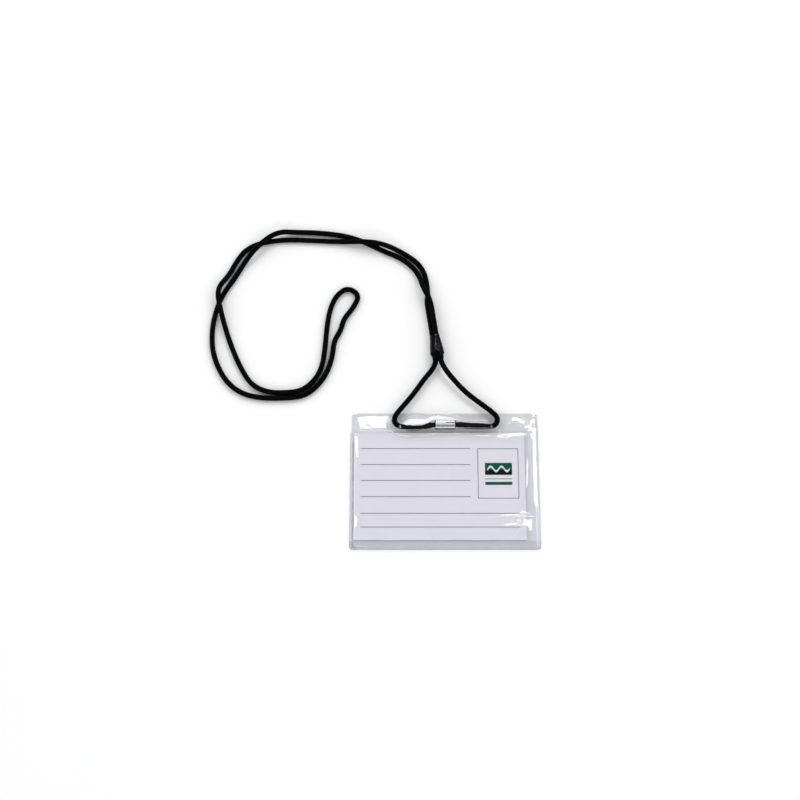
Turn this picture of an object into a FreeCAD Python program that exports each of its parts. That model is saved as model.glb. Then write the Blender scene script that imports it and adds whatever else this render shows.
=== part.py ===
import FreeCAD, Part
import math
import os

# Lanyard badge holder: a clear two-film pocket with a printed card in it, hung on
# one black cord. The holder lies flat: +Z up, +X right, +Y towards its top edge.
# The origin is under the middle of the holder, on the surface it lies on.
# All sizes are in millimetres.

V = FreeCAD.Vector

# Films and their welded rim
holder_width = 99.6
header_left = 49.0
header_right = 49.6
holder_height = 76.4
corner_radius = 2.0
film = 0.35
rim = 1.7
step_width = 0.4
left_shoulder_y = 26.5
right_shoulder_y = 30.0
shoulder_length = 1.4

# Card insert
card_width = 90.0
card_height = 60.0
card_thickness = 0.4
card_left_x = -47.6
card_bottom_y = -32.9
card_corner_radius = 0.6
card_play = 0.05

# Tunnel that the front film makes over the joined cord ends
tunnel_left_x = -23.4
tunnel_right_x = 25.2
tunnel_foot_low_y = 26.1
tunnel_foot_high_y = 35.7
tunnel_top_low_y = 27.7
tunnel_top_high_y = 34.3
tunnel_ceiling_z = 4.55
tunnel_wall_offset = 0.3

# Cord holes in the front film
hole_radius = 2.65
hole_y = 31.6
hole_left_x = -25.6
hole_right_x = 27.4

# Cord and its end fittings
cord_diameter = 2.9
cord_centre_y = 31.0
cord_centre_z = 2.6
sleeve_outer_radius = 1.7
sleeve_left_x = (-20.0, -6.3)
sleeve_right_x = (7.1, 21.4)
sleeve_edges = 9
crimp_length = 11.1
crimp_width = 5.2
crimp_height = 3.4
crimp_centre_x = 0.6
crimp_edge_radius = 1.1
seam_width = 0.35
seam_depth = 0.12
seam_offset_y = 0.6

# Slider bead on the two strands
bead_axis_point = V(-3.115, 70.6, 3.75)
bead_lean_degrees = 8.3
strand_tilt_degrees = 50.0
strand_spacing = 3.0
bead_bottom_offset = -1.9
bead_length = 13.9
bore_radius = 1.5
bead_sections = [
    # distance from the mouth, half width across both strands, half width across one
    (0.0, 3.45, 2.65),
    (3.3, 3.5, 3.0),
]
bead_bell = [
    (4.9, 3.7, 3.6),
    (8.0, 3.6, 3.0),
    (11.2, 3.42, 2.25),
    (13.9, 3.25, 1.75),
]
lip_radius = 3.75
lip_start = 3.3
lip_end = 4.9
mouth_depth = 4.2
mouth_flare = 0.95
mouth_wall = 0.3

# The cord's route: one cord from the crimp, out of the left hole, up through the
# bead, round the neck loop and back. Each list is one node's stretch.
run_share = 0.45
floor_z = cord_diameter / 2
over_z = 7.2
yoke_left = [
    V(0.6, 31.0, 2.6), V(-6.0, 31.0, 2.6), V(-13.0, 29.1, 2.65), V(-20.1, 29.2, 2.65),
    V(-25.0, 30.3, 2.75), V(-26.7, 33.4, 2.95), V(-25.3, 37.1, 3.1), V(-21.3, 42.0, 3.0),
    V(-15.9, 48.9, 2.8), V(-10.1, 57.9, 2.6), V(-5.95, 62.9, 2.6), V(-3.78, 68.48, 2.6),
]
neck_left = [
    V(-8.8, 102.92, 2.6), V(-8.1, 109.0, floor_z), V(-9.4, 119.6, floor_z),
    V(-13.0, 127.1, floor_z), V(-21.5, 133.7, floor_z), V(-32.6, 137.9, over_z),
    V(-43.0, 139.4, over_z), V(-55.0, 140.6, floor_z), V(-70.0, 141.4, floor_z),
    V(-84.0, 142.0, floor_z), V(-92.5, 141.3, floor_z), V(-102.3, 139.3, floor_z),
    V(-109.0, 135.0, floor_z), V(-113.4, 128.0, floor_z), V(-117.0, 120.0, floor_z),
    V(-123.1, 110.5, over_z), V(-121.0, 98.5, over_z), V(-117.4, 85.9, floor_z),
    V(-113.5, 74.8, floor_z), V(-108.9, 64.2, floor_z), V(-103.0, 54.5, floor_z),
    V(-94.2, 50.1, floor_z), V(-84.4, 49.85, floor_z), V(-76.0, 51.0, floor_z),
    V(-69.2, 56.8, floor_z), V(-65.2, 64.9, floor_z),
]
end_loop = [
    V(-63.8, 76.0, floor_z), V(-63.1, 87.5, floor_z), V(-61.6, 99.0, floor_z),
    V(-58.0, 108.0, floor_z), V(-51.8, 112.6, floor_z), V(-45.3, 107.8, floor_z),
    V(-49.1, 99.8, floor_z), V(-53.8, 93.8, floor_z), V(-55.4, 86.8, floor_z),
    V(-59.0, 80.5, floor_z),
]
neck_right = [
    V(-59.7, 71.5, floor_z), V(-62.2, 62.5, floor_z), V(-66.8, 54.6, floor_z),
    V(-74.3, 48.0, floor_z), V(-83.8, 46.8, floor_z), V(-96.5, 46.7, floor_z),
    V(-107.0, 48.9, floor_z), V(-115.1, 54.8, floor_z), V(-120.7, 63.5, floor_z),
    V(-124.4, 74.0, floor_z), V(-125.2, 85.0, floor_z), V(-124.1, 95.5, floor_z),
    V(-120.5, 107.8, floor_z), V(-114.3, 117.3, floor_z), V(-110.0, 125.6, floor_z),
    V(-103.0, 135.3, over_z), V(-91.8, 145.4, over_z), V(-80.0, 146.6, floor_z),
    V(-68.0, 146.2, floor_z), V(-55.5, 144.7, floor_z), V(-45.0, 141.5, floor_z),
    V(-32.1, 134.7, floor_z), V(-23.3, 130.8, floor_z), V(-16.0, 124.8, floor_z),
    V(-12.6, 118.8, floor_z), V(-10.8, 110.6, 6.0), V(-6.9, 103.2, 4.9),
]
yoke_right = [
    V(-1.88, 68.76, 4.9), V(-0.2, 63.9, 4.6), V(3.9, 58.1, 3.9), V(11.9, 49.0, 3.2),
    V(19.6, 43.0, 3.0), V(25.1, 38.4, 3.1), V(28.2, 35.4, 3.0), V(28.2, 32.1, 2.85),
    V(25.8, 29.8, 2.7), V(20.2, 30.0, 2.65), V(12.8, 30.2, 2.65), V(6.6, 31.0, 2.6),
    V(0.6, 31.0, 2.6),
]
stretches = {
    "cord_yoke_left": yoke_left,
    "cord_neck_left": neck_left,
    "cord_end_loop": end_loop,
    "cord_neck_right": neck_right,
    "cord_yoke_right": yoke_right,
}


def outline_face(z):
    """Plan outline shared by both films: narrower header, rounded corners."""
    half_body = holder_width / 2
    half_height = holder_height / 2
    r = corner_radius
    bend = r * (1 - math.sqrt(0.5))

    def corner(start, x, y, end):
        return Part.Arc(start, V(x, y, z), end).toShape()

    points = [
        V(-half_body + r, -half_height, z), V(half_body - r, -half_height, z),
        V(half_body, -half_height + r, z), V(half_body, right_shoulder_y, z),
        V(header_right, right_shoulder_y + shoulder_length, z), V(header_right, half_height - r, z),
        V(header_right - r, half_height, z), V(-header_left + r, half_height, z),
        V(-header_left, half_height - r, z), V(-header_left, left_shoulder_y + shoulder_length, z),
        V(-half_body, left_shoulder_y, z), V(-half_body, -half_height + r, z),
    ]
    arcs = {
        1: (half_body - bend, -half_height + bend),
        5: (header_right - bend, half_height - bend),
        7: (-header_left + bend, half_height - bend),
        11: (-half_body + bend, -half_height + bend),
    }
    edges = []
    for i, start in enumerate(points):
        end = points[(i + 1) % len(points)]
        if i in arcs:
            edges.append(corner(start, arcs[i][0], arcs[i][1], end))
        else:
            edges.append(Part.LineSegment(start, end).toShape())
    return Part.Face(Part.Wire(edges))


def rectangle_wire(x0, x1, y0, y1, z):
    return Part.makePolygon([V(x0, y0, z), V(x1, y0, z), V(x1, y1, z), V(x0, y1, z), V(x0, y0, z)])


def pocket_block(bottom_z, top_z):
    """Room between the rims, with stepped sides, running out past the open top edge."""
    low_x = -holder_width / 2 + rim
    high_x = holder_width / 2 - rim
    low_y = -holder_height / 2 + rim
    past_mouth = holder_height
    s = step_width
    lower = rectangle_wire(low_x, high_x, low_y, past_mouth, bottom_z)
    upper = rectangle_wire(low_x + s, high_x - s, low_y + s, past_mouth, top_z)
    return Part.makeLoft([lower, upper], True, True)


def tunnel_block(base_z, top_z, outset):
    """Trapezium across the header, as long as the tunnel."""
    section = Part.makePolygon([
        V(tunnel_left_x, tunnel_foot_low_y - outset, base_z),
        V(tunnel_left_x, tunnel_foot_high_y + outset, base_z),
        V(tunnel_left_x, tunnel_top_high_y + outset, top_z),
        V(tunnel_left_x, tunnel_top_low_y - outset, top_z),
        V(tunnel_left_x, tunnel_foot_low_y - outset, base_z),
    ])
    return Part.Face(section).extrude(V(tunnel_right_x - tunnel_left_x, 0, 0))


def back_film():
    return outline_face(0).extrude(V(0, 0, film))


def front_film():
    """Welded to the back film along the left, bottom and right; open at the top."""
    pocket_top = film + card_thickness + card_play
    shell = outline_face(film).extrude(V(0, 0, film))
    shell = shell.fuse(pocket_block(2 * film, pocket_top + film))
    shell = shell.fuse(tunnel_block(pocket_top + film / 2, tunnel_ceiling_z + film, tunnel_wall_offset))
    shell = shell.cut(pocket_block(film, pocket_top))
    shell = shell.cut(tunnel_block(film, tunnel_ceiling_z, 0))
    for x in (hole_left_x, hole_right_x):
        shell = shell.cut(Part.makeCylinder(hole_radius, 4 * film, V(x, hole_y, film)))
    shell = shell.common(outline_face(film).extrude(V(0, 0, tunnel_ceiling_z + film)))
    return shell.removeSplitter()


def insert_card():
    card = Part.makeBox(card_width, card_height, card_thickness, V(card_left_x, card_bottom_y, film))
    upright = [edge for edge in card.Edges if abs(edge.tangentAt(edge.FirstParameter).z) > 0.9]
    return card.makeFillet(card_corner_radius, upright)


def route_edges():
    """Straight runs joined by tangent arcs, as one list of edges for each stretch."""
    points = [point for stretch in stretches.values() for point in stretch]
    ends = []
    count = 0
    for stretch in stretches.values():
        count += len(stretch)
        ends.append(count - 1)
    groups = []
    edges = []
    here = points[0]
    smallest = []
    for i in range(1, len(points)):
        if i == len(points) - 1:
            edges.append(Part.LineSegment(here, points[i]).toShape())
            break
        back = points[i - 1] - points[i]
        ahead = points[i + 1] - points[i]
        shorter = min(back.Length, ahead.Length)
        tangent_length = run_share * shorter
        turn = math.pi - back.getAngle(ahead)
        radius = tangent_length / math.tan(turn / 2)
        smallest.append((radius, i))
        back.normalize()
        ahead.normalize()
        start = points[i] + back * tangent_length
        end = points[i] + ahead * tangent_length
        inward = back + ahead
        inward.normalize()
        middle = points[i] + inward * (radius / math.cos(turn / 2) - radius)
        if i - 1 in ends:
            cut = (points[i - 1] + points[i]) / 2
            edges.append(Part.LineSegment(here, cut).toShape())
            groups.append(edges)
            edges = []
            here = cut
        edges.append(Part.LineSegment(here, start).toShape())
        edges.append(Part.Arc(start, middle, end).toShape())
        here = end
    groups.append(edges)
    print("tightest radii, mm:", [(round(r, 1), i) for r, i in sorted(smallest)[:10]])
    return groups


def tube(edges, radius):
    """Round solid along a chain of tangent edges."""
    path = Part.Wire(edges)
    start = edges[0].valueAt(edges[0].FirstParameter)
    heading = edges[0].tangentAt(edges[0].FirstParameter)
    circle = Part.Wire(Part.makeCircle(radius, start, heading))
    return path.makePipe(Part.Face(circle))


def check_tube(name, solid, edges):
    length = sum(edge.Length for edge in edges)
    expected = math.pi * (cord_diameter / 2) ** 2 * length
    print(name, "length", round(length, 1), "volume ratio", round(solid.Volume / expected, 4))
    return length


def crimp():
    """Folded metal sleeve over both cord ends, with its fold seam along the top."""
    low = V(crimp_centre_x - crimp_length / 2, cord_centre_y - crimp_width / 2,
            cord_centre_z - crimp_height / 2)
    body = Part.makeBox(crimp_length, crimp_width, crimp_height, low)
    lengthwise = [edge for edge in body.Edges if abs(edge.tangentAt(edge.FirstParameter).x) > 0.9]
    body = body.makeFillet(crimp_edge_radius, lengthwise)
    bore = Part.makeCylinder(cord_diameter / 2, crimp_length,
                             V(low.x, cord_centre_y, cord_centre_z), V(1, 0, 0))
    seam = Part.makeBox(crimp_length, seam_width, seam_depth,
                        V(low.x, cord_centre_y - seam_offset_y - seam_width / 2,
                          low.z + crimp_height - seam_depth))
    return body.cut(bore).cut(seam)


def sleeve(edges, first_x, last_x):
    """Shrunk tube over the cord beside the crimp, between two planes across X."""
    outer = tube(edges, sleeve_outer_radius)
    cord = tube(edges, cord_diameter / 2)
    reach = 4 * cord_diameter
    slab = Part.makeBox(last_x - first_x, reach, reach,
                        V(first_x, cord_centre_y - reach / 2, cord_centre_z - reach / 2))
    return outer.cut(cord).common(slab)


def ellipse_wire(distance, half_major, half_minor):
    if abs(half_major - half_minor) < 1e-6:
        return Part.Wire(Part.makeCircle(half_major, V(0, 0, distance)))
    return Part.Wire(Part.Ellipse(V(0, 0, distance), half_major, half_minor).toShape())


def bead_placement():
    """Local Z along the strands, local X across both of them."""
    lean = math.radians(bead_lean_degrees)
    tilt = math.radians(strand_tilt_degrees)
    along = V(-math.sin(lean), math.cos(lean), 0)
    level = V(math.cos(lean), math.sin(lean), 0)
    across = level * math.cos(tilt) + V(0, 0, math.sin(tilt))
    third = along.cross(across)
    o = bead_axis_point + along * bead_bottom_offset
    return FreeCAD.Placement(FreeCAD.Matrix(
        across.x, third.x, along.x, o.x,
        across.y, third.y, along.y, o.y,
        across.z, third.z, along.z, o.z,
        0, 0, 0, 1))


def slider_bead():
    """Bell-shaped bead with one flat oval bore for both strands and a flared mouth."""
    collar = Part.makeLoft([ellipse_wire(*section) for section in bead_sections], True, True)
    lip = Part.makeCylinder(lip_radius, lip_end - lip_start, V(0, 0, lip_start))
    bell = Part.makeLoft([ellipse_wire(*section) for section in bead_bell], True, False)
    bead = collar.fuse(lip).fuse(bell)
    half = strand_spacing / 2
    for x in (-half, half):
        bead = bead.cut(Part.makeCylinder(bore_radius, bead_length, V(x, 0, 0)))
    bead = bead.cut(Part.makeBox(strand_spacing, 2 * bore_radius, bead_length,
                                 V(-half, -bore_radius, 0)))
    wide = ellipse_wire(0, half + bore_radius + mouth_wall, bore_radius + mouth_flare)
    narrow = ellipse_wire(mouth_depth, half + bore_radius, bore_radius)
    bead = bead.cut(Part.makeLoft([wide, narrow], True, True))
    bead.Placement = bead_placement()
    return bead


def main():
    os.makedirs("parts", exist_ok=True)
    groups = dict(zip(stretches, route_edges()))
    nodes = {
        "back_film": back_film(),
        "front_film": front_film(),
        "insert_card": insert_card(),
        "crimp": crimp(),
        "cord_sleeve_left": sleeve(groups["cord_yoke_left"][:sleeve_edges], *sleeve_left_x),
        "cord_sleeve_right": sleeve(groups["cord_yoke_right"][-sleeve_edges:], *sleeve_right_x),
        "slider_bead": slider_bead(),
    }
    total = 0
    for name, edges in groups.items():
        nodes[name] = tube(edges, cord_diameter / 2)
        total += check_tube(name, nodes[name], edges)
    print("cord length, mm:", round(total, 1))
    for name, shape in nodes.items():
        solids = shape.Solids
        print(name, "solids", len(solids), "valid", shape.isValid(), "volume", round(shape.Volume, 2))
        shape.exportStep(f"parts/{name}.step")


main()
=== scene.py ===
import math

import bmesh
import bpy
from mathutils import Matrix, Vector, noise


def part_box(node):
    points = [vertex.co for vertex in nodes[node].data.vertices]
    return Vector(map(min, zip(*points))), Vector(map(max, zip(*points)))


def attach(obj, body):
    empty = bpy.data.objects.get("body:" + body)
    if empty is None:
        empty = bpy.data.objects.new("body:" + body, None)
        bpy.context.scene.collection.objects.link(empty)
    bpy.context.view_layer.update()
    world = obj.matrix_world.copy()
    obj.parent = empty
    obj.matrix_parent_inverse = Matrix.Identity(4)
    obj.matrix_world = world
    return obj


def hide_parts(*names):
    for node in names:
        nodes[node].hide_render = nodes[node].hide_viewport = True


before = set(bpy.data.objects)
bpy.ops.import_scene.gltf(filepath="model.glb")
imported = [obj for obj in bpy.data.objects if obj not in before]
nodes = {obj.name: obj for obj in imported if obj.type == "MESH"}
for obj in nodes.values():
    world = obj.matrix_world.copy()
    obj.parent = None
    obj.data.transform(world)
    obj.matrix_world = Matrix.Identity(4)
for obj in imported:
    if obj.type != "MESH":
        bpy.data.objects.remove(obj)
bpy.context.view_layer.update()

# -------- sizes from the frame
film_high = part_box("back_film")[1]
film_thickness = film_high.z
card_low, card_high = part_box("insert_card")
crimp_low, crimp_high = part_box("crimp")
left_sleeve_low, left_sleeve_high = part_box("cord_sleeve_left")
right_sleeve_low, right_sleeve_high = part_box("cord_sleeve_right")
cord_diameter = 0.0029

# -------- the cord's route
# One cord: crimp, left hole, bead, neck loop, bead, right hole, crimp.
# Heights are given in full where it rises over the film, the crimp's tunnel or itself.
floor_z = cord_diameter / 2
over_z = 0.0046
yoke_left = [
    (0.0006, 0.031, 0.0026), (-0.006, 0.031, 0.0026), (-0.013, 0.0291, 0.00265),
    (-0.0201, 0.0292, 0.00265), (-0.025, 0.0303, 0.00275), (-0.0267, 0.0334, 0.00295),
    (-0.0253, 0.0371, 0.0031), (-0.0213, 0.042, 0.003), (-0.0159, 0.0489, 0.0028),
    (-0.0101, 0.0579, 0.0026), (-0.00595, 0.0629, 0.0026), (-0.00378, 0.06848, 0.0026),
    (-0.00465, 0.07446, 0.0026),
]
neck_left = [
    (-0.0079, 0.09676, 0.0026), (-0.0088, 0.10292, 0.0026), (-0.0081, 0.109, floor_z),
    (-0.0094, 0.1196, floor_z), (-0.013, 0.1271, floor_z), (-0.0215, 0.1337, floor_z),
    (-0.0326, 0.1379, over_z), (-0.043, 0.1394, over_z), (-0.055, 0.1406, floor_z),
    (-0.07, 0.1414, floor_z), (-0.084, 0.142, floor_z), (-0.0925, 0.1413, floor_z),
    (-0.1023, 0.1393, floor_z), (-0.109, 0.135, floor_z), (-0.1134, 0.128, floor_z),
    (-0.117, 0.12, floor_z), (-0.1231, 0.1105, over_z), (-0.121, 0.0985, over_z),
    (-0.1174, 0.0859, floor_z), (-0.1135, 0.0748, floor_z), (-0.1089, 0.0642, floor_z),
    (-0.103, 0.0545, floor_z), (-0.0942, 0.0501, floor_z), (-0.0844, 0.04985, floor_z),
    (-0.076, 0.051, floor_z), (-0.0692, 0.0568, floor_z), (-0.0652, 0.0649, floor_z),
]
end_loop = [
    (-0.0638, 0.076, floor_z), (-0.0631, 0.0875, floor_z), (-0.0616, 0.099, floor_z),
    (-0.058, 0.108, floor_z), (-0.0518, 0.1126, floor_z), (-0.0453, 0.1078, floor_z),
    (-0.0491, 0.0998, floor_z), (-0.0538, 0.0938, floor_z), (-0.0554, 0.0868, floor_z),
    (-0.059, 0.0805, floor_z),
]
neck_right = [
    (-0.0597, 0.0715, floor_z), (-0.0622, 0.0625, floor_z), (-0.0668, 0.0546, floor_z),
    (-0.0743, 0.048, floor_z), (-0.0838, 0.0468, floor_z), (-0.0965, 0.0467, floor_z),
    (-0.107, 0.0489, floor_z), (-0.1151, 0.0548, floor_z), (-0.1207, 0.0635, floor_z),
    (-0.1244, 0.074, floor_z), (-0.1252, 0.085, floor_z), (-0.1241, 0.0955, floor_z),
    (-0.1205, 0.1078, floor_z), (-0.1143, 0.1173, floor_z), (-0.11, 0.1256, floor_z),
    (-0.103, 0.1353, over_z), (-0.0918, 0.1454, over_z), (-0.08, 0.1466, floor_z),
    (-0.068, 0.1462, floor_z), (-0.0555, 0.1447, floor_z), (-0.045, 0.1415, floor_z),
    (-0.0321, 0.1347, floor_z), (-0.0233, 0.1308, floor_z), (-0.016, 0.1248, floor_z),
    (-0.0126, 0.1188, floor_z), (-0.0108, 0.1106, 0.0058), (-0.0069, 0.1032, 0.0049),
    (-0.00568, 0.09485, 0.0049),
]
yoke_right = [
    (-0.00263, 0.07392, 0.0049), (-0.00188, 0.06876, 0.0049), (-0.0002, 0.0639, 0.0046),
    (0.0039, 0.0581, 0.0039), (0.0119, 0.049, 0.0032), (0.0196, 0.043, 0.003),
    (0.0251, 0.0384, 0.0031), (0.0282, 0.0354, 0.003), (0.0282, 0.0321, 0.00285),
    (0.0258, 0.0298, 0.0027), (0.0202, 0.03, 0.00265), (0.0128, 0.0302, 0.00265),
    (0.0066, 0.031, 0.0026), (0.0006, 0.031, 0.0026),
]
route = yoke_left + neck_left + end_loop + neck_right + yoke_right


# -------- mesh helpers
def add_piece(name, mesh, body, slot, materials, *stands_for):
    """Links a finished mesh as a piece that rides on a body and stands for CAD nodes."""
    piece = bpy.data.objects.new(name, mesh)
    bpy.context.scene.collection.objects.link(piece)
    for material in materials:
        mesh.materials.append(material)
    for polygon in mesh.polygons:
        polygon.use_smooth = True
    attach(piece, body)
    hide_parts(*stands_for)
    return piece


def skin(name, rings):
    """Closed mesh through equal rings of points. The last ring joins the first."""
    count = len(rings[0])
    vertices = [point for ring in rings for point in ring]
    faces = []
    for k in range(len(rings)):
        low = k * count
        high = (k + 1) % len(rings) * count
        for i in range(count):
            j = (i + 1) % count
            faces.append((low + i, low + j, high + j, high + i))
    mesh = bpy.data.meshes.new(name)
    mesh.from_pydata(vertices, [], faces)
    fix_normals(mesh)
    return mesh


def fix_normals(mesh):
    """Turns every face outwards."""
    work = bmesh.new()
    work.from_mesh(mesh)
    bmesh.ops.recalc_face_normals(work, faces=work.faces)
    work.to_mesh(mesh)
    work.free()


def smooth(low, high, value):
    """0 below low, 1 above high, and an S-curve between."""
    t = min(1.0, max(0.0, (value - low) / (high - low)))
    return t * t * (3 - 2 * t)


def unevenness(size, x, y, z):
    """Smooth offset of up to about this size, the same for the same place each time."""
    return size * noise.noise(Vector((x, y, z)))


def blend_keys(keys, value):
    """Values on smooth curves through rows of (place, value, value, ...)."""
    if value <= keys[0][0]:
        return keys[0][1:]
    if value >= keys[-1][0]:
        return keys[-1][1:]
    i = max(k for k in range(len(keys) - 1) if keys[k][0] <= value)
    before, after = keys[i], keys[i + 1]
    span = after[0] - before[0]
    t = (value - before[0]) / span
    blended = []
    for k in range(1, len(before)):
        ends = []
        for j in (i, i + 1):
            low, high = keys[max(j - 1, 0)], keys[min(j + 1, len(keys) - 1)]
            ends.append((high[k] - low[k]) / (high[0] - low[0]) * span)
        blended.append((2 * t ** 3 - 3 * t ** 2 + 1) * before[k]
                       + (t ** 3 - 2 * t ** 2 + t) * ends[0]
                       + (3 * t ** 2 - 2 * t ** 3) * after[k]
                       + (t ** 3 - t ** 2) * ends[1])
    return tuple(blended)


# -------- lines and tubes
line_steps = 24


def nurbs_line(points):
    """Places along the smooth line that has these control points."""
    curve = bpy.data.curves.new("route_line", "CURVE")
    curve.dimensions = "3D"
    spline = curve.splines.new("NURBS")
    spline.points.add(len(points) - 1)
    for control, place in zip(spline.points, points):
        control.co = (*place, 1)
    spline.order_u = 3
    spline.use_endpoint_u = True
    spline.resolution_u = line_steps
    carrier = bpy.data.objects.new("route_line", curve)
    mesh = bpy.data.meshes.new_from_object(carrier)
    line = [vertex.co.copy() for vertex in mesh.vertices]
    bpy.data.objects.remove(carrier)
    bpy.data.meshes.remove(mesh)
    return line


class Line:
    """A smooth line by distance along it, with side directions that don't twist."""

    def __init__(self, places):
        self.places = places
        self.distances = [0.0]
        for before, after in zip(places, places[1:]):
            self.distances.append(self.distances[-1] + (after - before).length)
        self.length = self.distances[-1]
        self.headings = []
        for i in range(len(places)):
            ahead = places[min(i + 1, len(places) - 1)] - places[max(i - 1, 0)]
            self.headings.append(ahead.normalized())
        side = self.headings[0].cross(Vector((0, 0, 1))).normalized()
        self.sides = []
        for heading in self.headings:
            side = (side - heading * side.dot(heading)).normalized()
            self.sides.append(side)
        self.hint = 0

    def at(self, distance):
        """Place, heading, side and upright side at a distance from the start."""
        distance = min(max(distance, 0.0), self.length)
        i = self.hint
        while i > 0 and self.distances[i] > distance:
            i -= 1
        while i < len(self.places) - 2 and self.distances[i + 1] < distance:
            i += 1
        self.hint = i
        span = self.distances[i + 1] - self.distances[i]
        t = (distance - self.distances[i]) / span if span > 0 else 0.0
        place = self.places[i].lerp(self.places[i + 1], t)
        heading = self.headings[i].lerp(self.headings[i + 1], t).normalized()
        side = self.sides[i].lerp(self.sides[i + 1], t)
        side = (side - heading * side.dot(heading)).normalized()
        return place, heading, side, heading.cross(side)

    def ring(self, distance, radius, count):
        """Circle of points across the line."""
        place, heading, side, upright = self.at(distance)
        points = []
        for i in range(count):
            angle = math.tau * i / count
            points.append(place + (side * math.cos(angle) + upright * math.sin(angle)) * radius)
        return points

    def distance_at_x(self, x, first, last):
        """Distance between first and last where the line passes x."""
        best = min(
            (i for i in range(len(self.places)) if first <= self.distances[i] <= last),
            key=lambda i: abs(self.places[i].x - x),
        )
        return self.distances[best]


# -------- node helper
class Look:
    """A material under construction, with short ways to add nodes."""

    def __init__(self, name):
        self.material = bpy.data.materials.new(name)
        self.material.use_nodes = True
        self.tree = self.material.node_tree
        self.tree.nodes.clear()
        self.output = self.tree.nodes.new("ShaderNodeOutputMaterial")

    def node(self, kind, settings=None, **inputs):
        """Adds a node. An input's name has _ for a space; a value may be a socket."""
        made = self.tree.nodes.new("ShaderNode" + kind)
        for key, value in (settings or {}).items():
            setattr(made, key, value)
        for key, value in inputs.items():
            self.feed(made.inputs[key.replace("_", " ")], value)
        return made

    def feed(self, socket, value):
        if isinstance(value, bpy.types.NodeSocket):
            self.tree.links.new(value, socket)
        else:
            socket.default_value = value

    def math(self, operation, *values):
        made = self.tree.nodes.new("ShaderNodeMath")
        made.operation = operation
        for socket, value in zip(made.inputs, values):
            self.feed(socket, value)
        return made.outputs[0]

    def mix(self, factor, first, second, kind="RGBA"):
        made = self.tree.nodes.new("ShaderNodeMix")
        made.data_type = kind
        sockets = [s for s in made.inputs if s.enabled]
        for socket, value in zip(sockets, (factor, first, second)):
            self.feed(socket, value)
        return next(s for s in made.outputs if s.enabled)

    def ramp(self, value, start, end, top=1.0):
        """0 before start, top after end, and a straight rise between."""
        made = self.node("MapRange", Value=value, From_Min=start, From_Max=end, To_Max=top)
        return made.outputs[0]

    def place(self):
        """Object coordinates, which stay with the piece, and their X and Y."""
        coordinates = self.node("TexCoord").outputs["Object"]
        split = self.node("SeparateXYZ", Vector=coordinates)
        return coordinates, split.outputs[0], split.outputs[1]

    def upright(self):
        """How far the surface faces up: 1 on top, 0 at the sides."""
        normal = self.node("TexCoord").outputs["Normal"]
        return self.node("SeparateXYZ", Vector=normal).outputs[2]

    def attribute(self, name):
        return self.node("Attribute", {"attribute_name": name}).outputs["Fac"]

    def noise(self, vector, scale, detail=2.0, roughness=0.5):
        made = self.node("TexNoise", Vector=vector, Scale=scale, Detail=detail,
                         Roughness=roughness)
        return made.outputs[0]

    def streaks(self, vector, scales, detail=2.0, roughness=0.5):
        """Noise with its own scale along each axis."""
        stretched = self.node("Mapping", Vector=vector, Scale=scales).outputs[0]
        return self.noise(stretched, 1, detail, roughness)

    def bump(self, height, distance, strength):
        made = self.node("Bump", Height=height, Distance=distance, Strength=strength)
        return made.outputs[0]

    def layer(self, factor, under, over):
        """Mixes two shaders."""
        made = self.node("MixShader", Fac=factor)
        self.feed(made.inputs[1], under)
        self.feed(made.inputs[2], over)
        return made.outputs[0]

    def box(self, x, y, low_x, high_x, low_y, high_y):
        """1 inside the box, 0 outside."""
        off_x = self.math("ABSOLUTE", self.math("SUBTRACT", x, (low_x + high_x) / 2))
        off_y = self.math("ABSOLUTE", self.math("SUBTRACT", y, (low_y + high_y) / 2))
        in_x = self.math("LESS_THAN", off_x, (high_x - low_x) / 2)
        in_y = self.math("LESS_THAN", off_y, (high_y - low_y) / 2)
        return self.math("MULTIPLY", in_x, in_y)

    def any_of(self, masks):
        total = masks[0]
        for mask in masks[1:]:
            total = self.math("MAXIMUM", total, mask)
        return total

    def finish(self, shader):
        self.tree.links.new(shader, self.output.inputs["Surface"])
        return self.material


# -------- materials
film_tint = (0.964, 0.964, 0.975)
rim_tint = (0.982, 0.982, 0.988)
lower_tint = (0.950, 0.950, 0.964)
wall_tint = (0.86, 0.86, 0.90)
# tint of the weld and cut lines, and of the painted shade on steep film and the painted card
# shadow beside the card
line_and_shade_tint = (0.66, 0.66, 0.72)
film_haze = 0.0008
wall_haze = 0.06
film_ior = 1.52
# stands for the mirror of both faces, as only the outer one mirrors in the shader
both_faces_gain = 1.7
weld_line_width = 0.00034
weld_line_depth = 0.12
# beside the card the weld line also carries painted shadow of the card
weld_card_shadow_extra = 0.38
cut_line_width = 0.00025
cut_line_depth = 0.10
# painted shade where the film falls steeply, capped, with a higher cap beside the card for its
# painted shadow
steep_shade_gain = 1.5
steep_shade_limit = 0.04
card_shadow_steep_extra = 0.17
# where the two films lie pressed together, right of the card and above it, and how much
# of the rim's tint they take on there
pressed_right = (0.0440, 0.0452, 0.6)
pressed_top = (0.0275, 0.0290, 0.8)
card_edge_blur = 0.0010
beside_card_end = 0.005


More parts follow.
